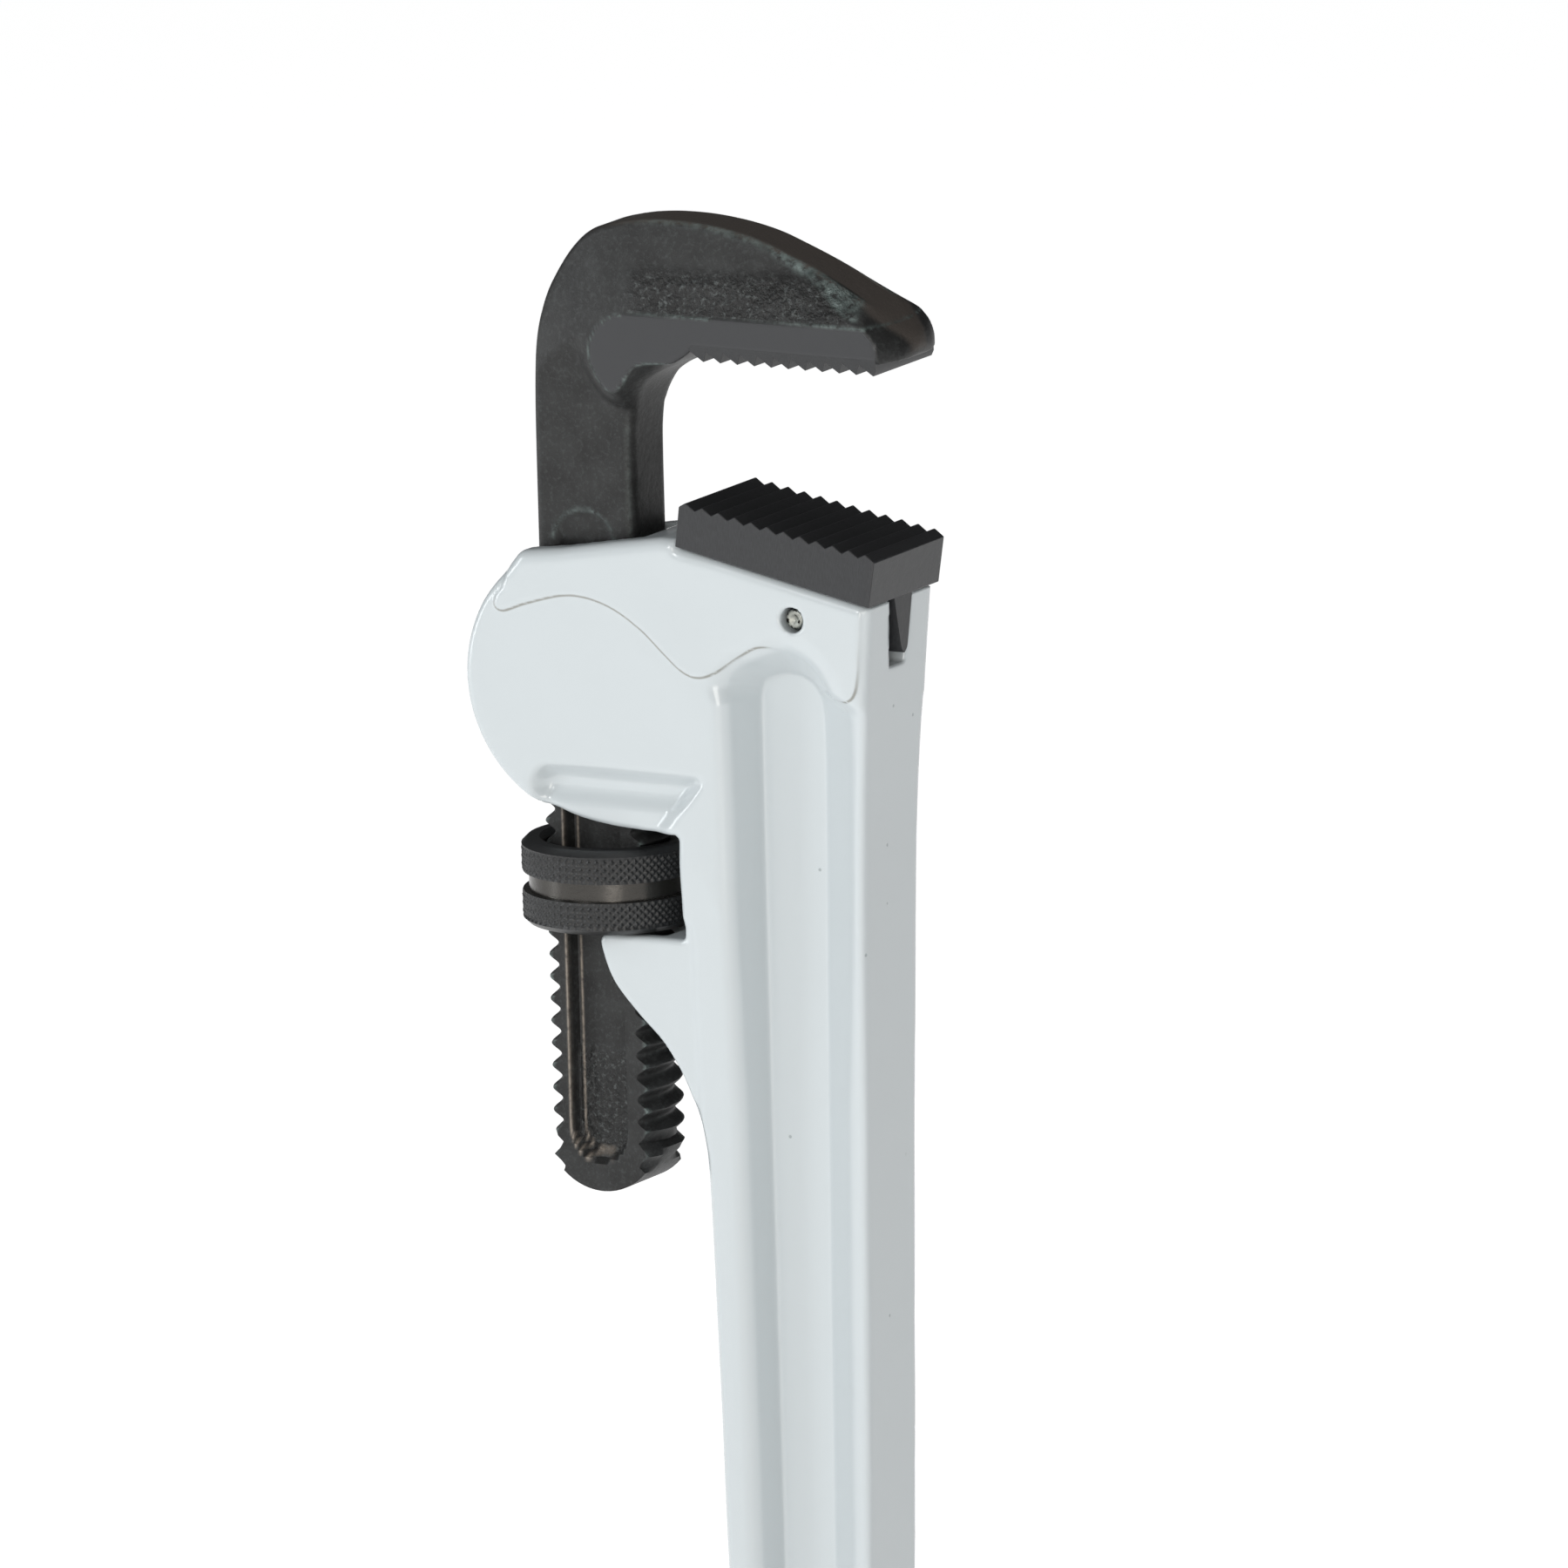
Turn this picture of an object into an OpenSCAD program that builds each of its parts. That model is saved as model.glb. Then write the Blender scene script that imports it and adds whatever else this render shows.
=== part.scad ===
// Straight pipe wrench with an aluminium handle: 350 mm long with the jaws fully open, for
// pipe up to 50 mm. +Z runs up the handle to the jaws, +X points out of the mouth and the
// wrench is symmetric about Y = 0. The origin is the centre of the hang hole.
// Sizes named _v run forward (+X) from the shank's axis and sizes named _u run up (+Z) from
// the nut's centre, as do the outlines below.

/* [Layout] */
// Height of the adjusting nut's centre above the hang hole
nut_height = 195; // [180:1:210]
// Distance from the hang hole's centre back to the shank's axis
shank_offset = 38; // [37:0.5:39]

/* [Shank and nut] */
// Diameter over the shank's threads
thread_d = 23; // [22.6:0.1:23.2]
// Advance of the jaw for one turn of the nut
thread_pitch = 4; // [3.5:0.5:5]
// Depth of the rounded thread
thread_depth = 1.5; // [1:0.1:1.8]
// Thickness across the shank's flat sides
shank_t = 12.7; // [12:0.1:13]
// Outside diameter of the nut
nut_d = 32; // [30:0.5:33]
// Height of the nut
nut_h = 15.2; // [14:0.2:15.6]

/* [Jaws] */
// Width of the heel jaw
heel_w = 25; // [22:0.5:28]
// Width of the hook jaw across its teeth
hook_w = 21; // [18:0.5:23]
// Number of teeth on the hook jaw
hook_teeth = 11; // [9:1:13]
// Number of teeth on the heel jaw
heel_teeth = 12; // [10:1:14]
// Depth of the teeth
tooth_depth = 1.8; // [1:0.1:2.2]
// Diameter of the heel jaw's roll pin
pin_d = 4; // [3:0.5:5]

/* [Handle] */
// Thickness of the loop housing
housing_t = 24; // [23:0.5:26]
// Thickness of the web between the grip's two pockets
web_t = 5; // [4:0.5:7]
// Diameter of the hang hole
hang_d = 12; // [8:0.5:14]

/* [Hidden] */

$fn = 64;
past = 1;                      // how far a cut runs past the face it opens
thread_r = thread_d / 2;
thread_steps = 28;             // sides of the thread's round
thread_rings = 6;              // rings for each pitch of the thread
thread_gap = 0.3;              // radial clearance between the nut's thread and the shank's
shank_gap = 0.5;               // clearance beside each of the shank's flats

// The loop housing, a disc cut level with the head and blended into the grip
housing_c = [2.7, 36.9];
housing_r = 24.9;
housing_shoulder = [[-16.6, 52], [-2.8, 44], [-2.8, 60.5], [-11.4, 59.2], [-13.3, 57.2]];
housing_top = [[20.6, 64.1], [17.7, 64], [8, 62.4]];
housing_foot = [[-9, 14.6], [-5.3, 13.8], [-0.9, 12.3], [5.3, 11.2]];
window_top_u = 10.9;
window_bottom_u = -8;
window_front_v = 20;
passage_front_v = 12.2;
passage_back_v = -14.6;        // behind the leaf spring
passage_lip_v = -10.9;         // behind the plain upper shank, above the leaf spring
passage_lip_u = 53.5;
passage_foot_v = -12.3;        // behind the thread, below the leaf spring
passage_foot_u = 22.5;
ear_slot_v = 14.5;

// The heel jaw's seat, its row of teeth and its tongue
seat_back = [21.7, 63];
seat_front = [60.3, 55.1];
heel_tip_front = [61.8, 64.3];
heel_tip_back = [22.8, 71.2];
tongue_len = 30;
tongue_drop = 9.4;
tongue_top_w = 7;
tongue_bottom_w = 5.2;
slot_drop = 12;
slot_gap = 0.2;
pin_pos = [44.4, 51.6];
pin_recess = 0.8;              // how far the pin's ends sit below the handle's sides

// The grip: its front and back edges and its half-thickness at each height
end_r = 13;
hang_pos = [shank_offset, -nut_height];
grip_front = [[53.4, -115], [55.1, -42], [56.6, 10], [58.5, 38]];
grip_back = [[22.2, -51.7], [23.8, -118]];
lug_back = [[3.1, -10.4], [5.7, -17.6], [10.2, -22.2], [14.5, -26.3], [18.4, -32.3],
            [19.9, -35.6], [21.6, -41.4]];
grip_end_t = 17;
grip_half_t = [[grip_end_t / 2, -nut_height - end_r - past], [grip_end_t / 2, -170], [9.3, -115],
               [9.7, -38], [10.9, window_bottom_u], [11.3, 54], [11.6, 70]];

// The pockets in the grip's two sides: floor edges, mouth edges and the arches at their ends
pocket_floor = [32.8, 44.8];
pocket_slope = [0.75, 1.15];   // how fast the back and front walls flare out
pocket_top = [39.4, 34];
pocket_top_r = 11.5;
pocket_end = [38.4, -163];
pocket_end_r = 9.5;

// The shank: plain above the thread, round at its lower end and recessed on both flats
thread_top_u = 31;
shank_top_u = 78;
shank_bottom_u = -55.5;
shank_back_v = -9.7;
shank_front_v = 9.2;
recess_v = -0.3;
recess_r = 5.3;
recess_from_u = -44.4;
recess_to_u = 61.2;
recess_depth = 2;

// Sections across the hook from its inner edge to its rim, each point as [v, u, half-width]
hook_root_u = 97.8;
hook_teeth_v = [25, 61.8];
hook_half = hook_w / 2;
hook_sections = [
    [[9.2, 76, 6.3], [shank_back_v, 76, 6.3]],
    [[9.2, 81, 6.3], [-9.6, 91, 6.3]],
    [[9.8, 84, 6.3], [-2, 93, 6.4], [-9.2, 100.5, 6]],
    [[11.2, 87, 6.6], [2, 97, 7.2], [-6.3, 107.4, 5.6]],
    [[15, 89.6, 8.2], [7, 101, 8.6], [-1.4, 113.6, 5.2]],
    [[19, 91.5, 9.4], [11, 103, 9.2], [3.4, 117.3, 4.8]],
    [[22, 94.2, hook_half], [18, 103.6, 9.8], [10.7, 119.4, 4.2]],
    [[25, hook_root_u, hook_half], [25, 103.8, 10.3], [21.7, 119.6, 4]],
    [[31, hook_root_u, hook_half], [31, 103.8, 10.3], [30, 118.3, 4]],
    [[37, hook_root_u, hook_half], [37, 103.8, 10.3], [38, 115.9, 4.2]],
    [[45, hook_root_u, hook_half], [45, 103.8, 10.3], [46.5, 112, 5]],
    [[53, hook_root_u, hook_half], [53, 103.6, 10], [55.1, 106.8, 6.4]],
    [[61.8, hook_root_u, hook_half], [61.2, 102.5, 7.8], [63.8, 98.3, 8], [63.4, 96, 8.4]]];

// The springs behind and in front of the shank
leaf_t = 0.8;
leaf_w = 9;
leaf_back_v = -14.3;
leaf_front_v = -11.8;
leaf_foot_u = [24.2, 32];
leaf_tip_u = 51;
rivet_d = 3;
rivet_u = 28;
rivet_head_d = 5.6;
rivet_head_h = 1;
rivet_depth = 4;
spring_u = 30;
spring_d = 6;
spring_wire = 0.9;
spring_turns = 5;
spring_tip_v = 11.8;
spring_pocket_d = 6.8;
spring_pocket_v = 22;

function arc(c, r, from, to, n) =
    [for (i = [0:n]) c + r * [cos(from + (to - from) * i / n), sin(from + (to - from) * i / n)]];

// Height of the heel jaw's seat at a distance forward
function seat_u(v) =
    seat_back[1] + (v - seat_back[0]) * (seat_front[1] - seat_back[1]) / (seat_front[0] - seat_back[0]);

// The unit vector to the right of the way from a to b
function right_of(a, b) = [b[1] - a[1], a[0] - b[0]] / norm(b - a);

// Points of a row of raked teeth whose roots run from a to b, cut towards the right
function teeth(a, b, count, depth) =
    [for (i = [0:count - 1]) each [a + (b - a) * i / count,
                                   a + (b - a) * (i + 0.62) / count + right_of(a, b) * depth]];

// Radius of the rounded right-hand thread at an angle and a height
function thread_radius(angle, z, r) =
    r - thread_depth / 2 + thread_depth / 2 * cos(360 * z / thread_pitch - angle);

// Puts a shape drawn about the shank's axis and the nut's centre in its place
module at_nut() {
    translate([-shank_offset, 0, nut_height]) children();
}

// Stands an outline on edge, centred on the wrench's middle plane
module slab(t) {
    rotate([90, 0, 0]) linear_extrude(t, center = true) children();
}

// A closed tube of the rings in pts, each of n points
module rings_solid(pts, n) {
    rings = len(pts) / n - 1;
    polyhedron(pts, concat(
        [for (i = [0:rings - 1], k = [0:n - 1])
            let (p = i * n + k, q = i * n + (k + 1) % n)
            each [[p, p + n, q], [q, p + n, q + n]]],
        [[for (k = [0:n - 1]) k]],
        [[for (k = [n - 1:-1:0]) rings * n + k]]));
}

// A solid screw of rounded thread from z0 to z1, with its crests at radius r
module screw(r, z0, z1) {
    rings = round((z1 - z0) / thread_pitch * thread_rings);
    rings_solid([for (i = [0:rings], k = [0:thread_steps - 1])
        let (z = z0 + (z1 - z0) * i / rings, a = 360 * k / thread_steps,
             q = thread_radius(a, z, r))
        [q * cos(a), q * sin(a), z]], thread_steps);
}

// The grip beam and the lug under the nut, seen from the side
module grip_outline() {
    polygon(concat(arc(hang_pos, end_r, 180, 360, 24), grip_front,
        [[59.8, seat_u(59.8)], [window_front_v, seat_u(window_front_v)],
         [window_front_v, window_bottom_u], [3.1, window_bottom_u]],
        lug_back, grip_back));
}

// The loop housing, seen from the side
module housing_outline() {
    intersection() {
        union() {
            translate(housing_c) circle(housing_r, $fn = 96);
            polygon(housing_shoulder);
            translate([housing_c[0], window_top_u]) square([21, 60]);
        }
        polygon(concat([[-40, housing_foot[0][1]]], housing_foot,
            [[12, window_top_u], [30, window_top_u], [30, seat_u(30)], seat_back], housing_top,
            [housing_shoulder[2], housing_shoulder[3], housing_shoulder[4], [-40, 57.2]]));
    }
}

// A solid that trims the sides of the grip to its thickness at each height
module grip_thickness() {
    rotate([90, 0, 90]) linear_extrude(80)
        polygon(concat(grip_half_t, [for (i = [len(grip_half_t) - 1:-1:0])
            [-grip_half_t[i][0], grip_half_t[i][1]]]));
}

// Both side pockets of the grip, with walls that flare out from the web to the mouth
module pockets() {
    reach = housing_t;
    for (side = [-1, 1]) intersection() {
        translate([0, 0, pocket_end[1] - pocket_end_r]) linear_extrude(300)
            polygon([[pocket_floor[0], side * web_t / 2], [pocket_floor[1], side * web_t / 2],
                     [pocket_floor[1] + pocket_slope[1] * reach, side * (web_t / 2 + reach)],
                     [pocket_floor[0] - pocket_slope[0] * reach, side * (web_t / 2 + reach)]]);
        slab(2 * reach) polygon(concat(arc(pocket_end, pocket_end_r, 180, 360, 24),
                                       arc(pocket_top, pocket_top_r, 0, 180, 24)));
    }
}

module handle() {
    shank_room = shank_t + 2 * shank_gap;
    color("gainsboro") at_nut() difference() {
        union() {
            intersection() {
                slab(2 * housing_t) grip_outline();
                grip_thickness();
            }
            slab(housing_t) housing_outline();
        }
        // the passage for the shank, and the slot between the lug's ears
        for (stretch = [[passage_foot_v, window_top_u - past, passage_foot_u + past],
                        [passage_back_v, passage_foot_u, passage_lip_u],
                        [passage_lip_v, passage_lip_u - past, 70]])
            translate([stretch[0], -shank_room / 2, stretch[1]])
                cube([passage_front_v - stretch[0], shank_room, stretch[2] - stretch[1]]);
        translate([-past, -shank_room / 2, -56])
            cube([ear_slot_v + past, shank_room, 56 + window_bottom_u + past]);
        // the slot for the heel jaw's tongue
        translate([seat_front[0] - tongue_len - slot_gap, 0, 0]) rotate([90, 0, 90])
            linear_extrude(tongue_len + 5) tongue_section(slot_gap, slot_drop);
        translate([pin_pos[0], 0, pin_pos[1]]) rotate([90, 0, 0])
            cylinder(h = 2 * housing_t, d = pin_d, center = true);
        translate([hang_pos[0], 0, hang_pos[1]]) rotate([90, 0, 0])
            cylinder(h = 2 * housing_t, d = hang_d, center = true);
        translate([passage_front_v - past, 0, spring_u]) rotate([0, 90, 0])
            cylinder(h = spring_pocket_v - passage_front_v + past, d = spring_pocket_d);
        translate([passage_back_v - rivet_depth, 0, rivet_u]) rotate([0, 90, 0])
            cylinder(h = rivet_depth + past, d = rivet_d);
        pockets();
    }
}

// The tongue's section across the wrench, from well above its seat down to the given drop
module tongue_section(gap, drop) {
    low = seat_front[1] - drop;
    polygon([[-tongue_bottom_w / 2 - gap, low], [tongue_bottom_w / 2 + gap, low],
             [tongue_top_w / 2 + gap, 64], [-tongue_top_w / 2 - gap, 64]]);
}

// One section of the hook, as slivers that a hull joins to the next section
module hook_section(points) {
    for (p = points) translate([p[0], 0, p[1]]) cube([0.02, 2 * p[2], 0.02], center = true);
}

module hook_jaw() {
    color("dimgray") at_nut() difference() {
        union() {
            intersection() {
                union() {
                    screw(thread_r, shank_bottom_u - thread_pitch, thread_top_u);
                    translate([shank_back_v, -shank_t, thread_top_u - past])
                        cube([shank_front_v - shank_back_v, 2 * shank_t, 100]);
                }
                slab(shank_t) polygon(concat(
                    arc([0, shank_bottom_u + thread_r], thread_r, 180, 360, 32),
                    [[thread_r, shank_top_u], [-thread_r, shank_top_u]]));
            }
            for (i = [0:len(hook_sections) - 2]) hull() {
                hook_section(hook_sections[i]);
                hook_section(hook_sections[i + 1]);
            }
            slab(hook_w) polygon(concat(
                teeth([hook_teeth_v[0], hook_root_u], [hook_teeth_v[1], hook_root_u], hook_teeth,
                      tooth_depth),
                [[hook_teeth_v[1], hook_root_u], [hook_teeth_v[1], hook_root_u + past],
                 [hook_teeth_v[0], hook_root_u + past]]));
        }
        // the long recess in each flat
        for (side = [-1, 1]) translate([0, side * (shank_t / 2 + recess_depth), 0])
            slab(4 * recess_depth) polygon(concat(
                arc([recess_v, recess_from_u], recess_r, 180, 360, 24),
                arc([recess_v, recess_to_u], recess_r, 0, 180, 24)));
    }
}

module adjusting_nut() {
    r = nut_d / 2;
    h = nut_h / 2;
    chamfer = 0.8;
    groove = [1.5, 1.3];       // half its height, and its depth
    mouth = thread_r + 0.6;
    color("darkslategray") at_nut() difference() {
        rotate_extrude($fn = 96) polygon([[0, -h], [r - chamfer, -h], [r, chamfer - h],
            [r, -groove[0] - 0.3], [r - groove[1], -groove[0]], [r - groove[1], groove[0]],
            [r, groove[0] + 0.3], [r, h - chamfer], [r - chamfer, h], [0, h]]);
        screw(thread_r + thread_gap, -2 * thread_pitch, 2 * thread_pitch);
        for (side = [-1, 1]) translate([0, 0, side * (h - 1)])
            cylinder(h = 2 + past, r1 = mouth - side * 1.5, r2 = mouth + side * 1.5, center = true);
    }
}

module heel_jaw() {
    root_front = heel_tip_front - right_of(heel_tip_front, heel_tip_back) * tooth_depth;
    root_back = heel_tip_back - right_of(heel_tip_front, heel_tip_back) * tooth_depth;
    color("darkgray") at_nut() difference() {
        union() {
            slab(heel_w) polygon(concat([root_back, seat_back, seat_front],
                teeth(root_front, root_back, heel_teeth, tooth_depth)));
            intersection() {
                translate([seat_front[0] - tongue_len, 0, 0]) rotate([90, 0, 90])
                    linear_extrude(tongue_len - 0.5) tongue_section(0, tongue_drop);
                slab(heel_w) polygon([[20, 40], [61, 40], seat_front + [0.5, past], seat_back + [0, past]]);
            }
        }
        translate([pin_pos[0], 0, pin_pos[1]]) rotate([90, 0, 0])
            cylinder(h = heel_w, d = pin_d + 0.1, center = true);
    }
}

// A roll pin: a tube with a slit along it
module heel_jaw_pin() {
    len = 22.3 - 2 * pin_recess;
    color("slategray") at_nut() translate([pin_pos[0], 0, pin_pos[1]]) rotate([90, 0, 0])
        difference() {
            cylinder(h = len, d = pin_d, center = true);
            cylinder(h = len + 2, d = pin_d * 0.55, center = true);
            translate([0, -0.35, -len]) cube([pin_d, 0.7, 2 * len]);
        }
}

// A bowed strip: its foot lies by the housing's back wall and its bow bears on the shank
module leaf_spring() {
    bow = [[leaf_back_v, leaf_foot_u[0]], [leaf_back_v, leaf_foot_u[1]],
           [leaf_front_v - leaf_t, 42], [leaf_front_v - leaf_t, 46], [leaf_front_v - 1.6, leaf_tip_u]];
    color("lightsteelblue") at_nut() difference() {
        slab(leaf_w) polygon(concat(bow,
            [for (i = [len(bow) - 1:-1:0]) bow[i] + [leaf_t, 0]]));
        translate([leaf_back_v - past, 0, rivet_u]) rotate([0, 90, 0])
            cylinder(h = leaf_t + 2 * past, d = rivet_d + 0.4);
    }
}

module leaf_spring_rivet() {
    head_v = leaf_back_v + leaf_t + 0.3;
    color("silver") at_nut() translate([0, 0, rivet_u]) rotate([0, 90, 0]) {
        translate([0, 0, passage_back_v - rivet_depth])
            cylinder(h = head_v - passage_back_v + rivet_depth, d = rivet_d);
        translate([0, 0, head_v]) cylinder(h = rivet_head_h, d1 = rivet_head_d, d2 = rivet_head_d - 2);
    }
}

// A compression spring in the blind pocket of the housing's front wall
module coil_spring() {
    sides = 8;
    steps = 12;
    reach = spring_pocket_v - spring_tip_v - spring_wire;
    r = (spring_d - spring_wire) / 2;
    color("silver") at_nut() translate([spring_tip_v + spring_wire / 2, 0, spring_u])
        rotate([0, 90, 0]) rings_solid([for (i = [0:spring_turns * steps], k = [0:sides - 1])
            let (a = 360 * i / steps, b = 360 * k / sides, q = r + spring_wire / 2 * cos(b))
            [q * cos(a), q * sin(a), reach * i / (spring_turns * steps) + spring_wire / 2 * sin(b)]],
            sides);
}

handle();
hook_jaw();
adjusting_nut();
heel_jaw();
heel_jaw_pin();
leaf_spring();
leaf_spring_rivet();
coil_spring();
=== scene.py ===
# Straight pipe wrench: the looks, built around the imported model
import bpy
import numpy as np
from mathutils import Matrix, Vector


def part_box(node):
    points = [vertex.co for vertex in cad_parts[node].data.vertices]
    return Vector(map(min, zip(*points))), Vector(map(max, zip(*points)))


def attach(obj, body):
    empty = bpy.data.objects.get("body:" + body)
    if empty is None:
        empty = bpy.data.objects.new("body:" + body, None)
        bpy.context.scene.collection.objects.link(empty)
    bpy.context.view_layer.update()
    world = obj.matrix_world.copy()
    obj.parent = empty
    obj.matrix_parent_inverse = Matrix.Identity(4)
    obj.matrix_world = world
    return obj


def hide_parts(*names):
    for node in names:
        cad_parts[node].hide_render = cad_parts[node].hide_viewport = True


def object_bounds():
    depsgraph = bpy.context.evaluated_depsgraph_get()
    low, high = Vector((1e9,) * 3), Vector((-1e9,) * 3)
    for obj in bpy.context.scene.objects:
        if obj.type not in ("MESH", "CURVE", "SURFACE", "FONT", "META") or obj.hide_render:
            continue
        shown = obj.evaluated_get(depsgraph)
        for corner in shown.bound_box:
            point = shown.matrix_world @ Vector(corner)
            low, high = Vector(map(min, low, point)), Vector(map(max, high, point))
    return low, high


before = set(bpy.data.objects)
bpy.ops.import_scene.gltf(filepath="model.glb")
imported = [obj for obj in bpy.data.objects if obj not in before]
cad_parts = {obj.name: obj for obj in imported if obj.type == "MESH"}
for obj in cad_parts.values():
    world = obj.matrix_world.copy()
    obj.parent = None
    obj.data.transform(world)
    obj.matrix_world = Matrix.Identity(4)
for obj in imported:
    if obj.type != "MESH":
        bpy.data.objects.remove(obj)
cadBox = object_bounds()
mm = 0.001

# The drawings below are in millimetres: v forward from the shank's axis, w across the wrench
# and u up from the nut's centre
nutLow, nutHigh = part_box("adjusting_nut")
shankX = (nutLow[0] + nutHigh[0]) / 2
nutZ = (nutLow[2] + nutHigh[2]) / 2


# ---- numbers ----

def linear(hexColour):  # an sRGB hex colour as linear light
    part = np.array([int(hexColour[i:i + 2], 16) for i in (1, 3, 5)]) / 255
    return (*np.where(part <= 0.04045, part / 12.92, ((part + 0.055) / 1.055) ** 2.4), 1.0)


def ease(t):  # 0 below 0, 1 above 1 and a smooth S between them
    t = np.clip(t, 0, 1)
    return t * t * (3 - 2 * t)


def roundMax(a, b, r):  # what is inside both fields, with their shared edge rounded to radius r
    return np.minimum(np.maximum(a, b), -r) + np.hypot(np.maximum(a + r, 0), np.maximum(b + r, 0))


def cut(a, b, r):  # a with b taken out of it and the rim rounded to radius r
    return roundMax(a, -b, r)


def block(v, w, u, low, high):  # inside the box between two corners, each (v, w, u)
    return np.maximum.reduce(np.broadcast_arrays(low[0] - v, v - high[0], low[1] - w, w - high[1],
                                                 low[2] - u, u - high[2]))


def curve(points, steps):  # Catmull-Rom curve through the points, with steps samples a span
    p = np.array(points, float)
    p = np.vstack([2 * p[0] - p[1], p, 2 * p[-1] - p[-2]])
    t = np.linspace(0, 1, steps, endpoint=False)[None, :, None]
    a, b, c, d = (p[i:len(p) - 3 + i, None, :] for i in range(4))
    spans = 0.5 * (2 * b + (c - a) * t + (2 * a - 5 * b + 4 * c - d) * t ** 2
                   + (3 * b - a - 3 * c + d) * t ** 3)
    return np.vstack([spans.reshape(-1, p.shape[1]), p[-2]])


def arc(centre, r, start, end, steps):  # points along an arc, angles in degrees
    a = np.radians(np.linspace(start, end, steps))
    return np.column_stack([centre[0] + r * np.cos(a), centre[1] + r * np.sin(a)])


def outlineDistance(outline, v, u):  # distance to a closed outline, negative inside it
    nearest = np.inf
    inside = False
    for (av, au), (bv, bu) in zip(outline, np.roll(outline, -1, axis=0)):
        dv, du = bv - av, bu - au
        t = np.clip(((v - av) * dv + (u - au) * du) / (dv * dv + du * du + 1e-12), 0, 1)
        nearest = np.minimum(nearest, (v - av - t * dv) ** 2 + (u - au - t * du) ** 2)
        if du:
            inside = inside ^ (((au > u) != (bu > u)) & (v < dv * (u - au) / du + av))
    return np.where(inside, -1, 1) * np.sqrt(nearest)


# ---- meshes ----

def toFrame(points):  # drawing millimetres (v, w, u) to metres in the model's frame
    return np.asarray(points, float) * mm + (shankX, 0, nutZ)


def newPiece(name, points, faces, sharpAngle=None):
    mesh = bpy.data.meshes.new(name)
    mesh.from_pydata(toFrame(points).tolist(), [], [list(map(int, f)) for f in faces])
    mesh.polygons.foreach_set("use_smooth", np.ones(len(mesh.polygons), bool))
    if sharpAngle:
        mesh.set_sharp_from_angle(angle=np.radians(sharpAngle))
    mesh.update()
    piece = bpy.data.objects.new(name, mesh)
    bpy.context.collection.objects.link(piece)
    return piece


def addAttribute(piece, name, values):  # a number at each point for the materials to read
    piece.data.attributes.new(name, "FLOAT", "POINT").data.foreach_set("value", np.asarray(values, float))


def tube(rows, columns, reverse=False):  # faces of closed rings stacked one after another
    grid = np.arange(rows * columns).reshape(rows, columns)
    low, high = grid[:-1], grid[1:]
    faces = np.stack([low, np.roll(low, -1, 1), np.roll(high, -1, 1), high], axis=2).reshape(-1, 4)
    return (faces[:, ::-1] if reverse else faces).tolist()


def skin(field, v, w, u):
    # The surface where a field passes through zero: one point in each cell of the grid that it
    # crosses, at the mean of the crossings on the cell's edges, then moved onto the surface
    axes = (v, w, u)
    f = field(v[:, None, None], w[None, :, None], u[None, None, :])
    f = np.array(np.broadcast_to(f, (len(v), len(w), len(u))))
    inside = f < 0
    corners = [inside[i:len(v) - 1 + i, j:len(w) - 1 + j, k:len(u) - 1 + k]
               for i in (0, 1) for j in (0, 1) for k in (0, 1)]
    cells = np.argwhere(np.logical_or.reduce(corners) & ~np.logical_and.reduce(corners))
    index = np.full([n - 1 for n in f.shape], -1)
    index[tuple(cells.T)] = np.arange(len(cells))
    total, count = np.zeros((len(cells), 3)), np.zeros((len(cells), 1))
    for axis in range(3):
        for shift in range(4):
            start = cells.copy()
            start[:, (axis + 1) % 3] += shift & 1
            start[:, (axis + 2) % 3] += shift >> 1
            end = start.copy()
            end[:, axis] += 1
            a, b = f[tuple(start.T)], f[tuple(end.T)]
            crosses = ((a < 0) != (b < 0))[:, None]
            t = (a / np.where(a == b, 1, a - b))[:, None]
            from_, to = (np.column_stack([axes[i][c[:, i]] for i in range(3)]) for c in (start, end))
            total += np.where(crosses, from_ + t * (to - from_), 0)
            count += crosses
    points = total / count
    quads = []
    for axis in range(3):
        along = [slice(1, -1)] * 3
        along[axis] = slice(0, -1)
        ahead = list(along)
        ahead[axis] = slice(1, None)
        first, second = inside[tuple(along)], inside[tuple(ahead)]
        edges = np.argwhere(first != second) + [0 if i == axis else 1 for i in range(3)]
        b, c = np.eye(3, dtype=int)[(axis + 1) % 3], np.eye(3, dtype=int)[(axis + 2) % 3]
        ring = np.column_stack([index[tuple((edges - s).T)] for s in (b + c, c, 0 * b, b)])
        outward = inside[tuple(edges.T)]
        quads.append(np.where(outward[:, None], ring, ring[:, ::-1]))
    reach, h = 0.4, 0.02
    for _ in range(3):
        here = field(*points.T)
        slope = np.column_stack([field(*(points + h * np.eye(3)[i]).T) - here for i in range(3)]) / h
        move = here[:, None] * slope / np.maximum((slope ** 2).sum(1, keepdims=True), 0.05)
        points = points - np.clip(move, -reach, reach)
    return points, np.vstack(quads)


# ---- handle: one aluminium casting ----

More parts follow.
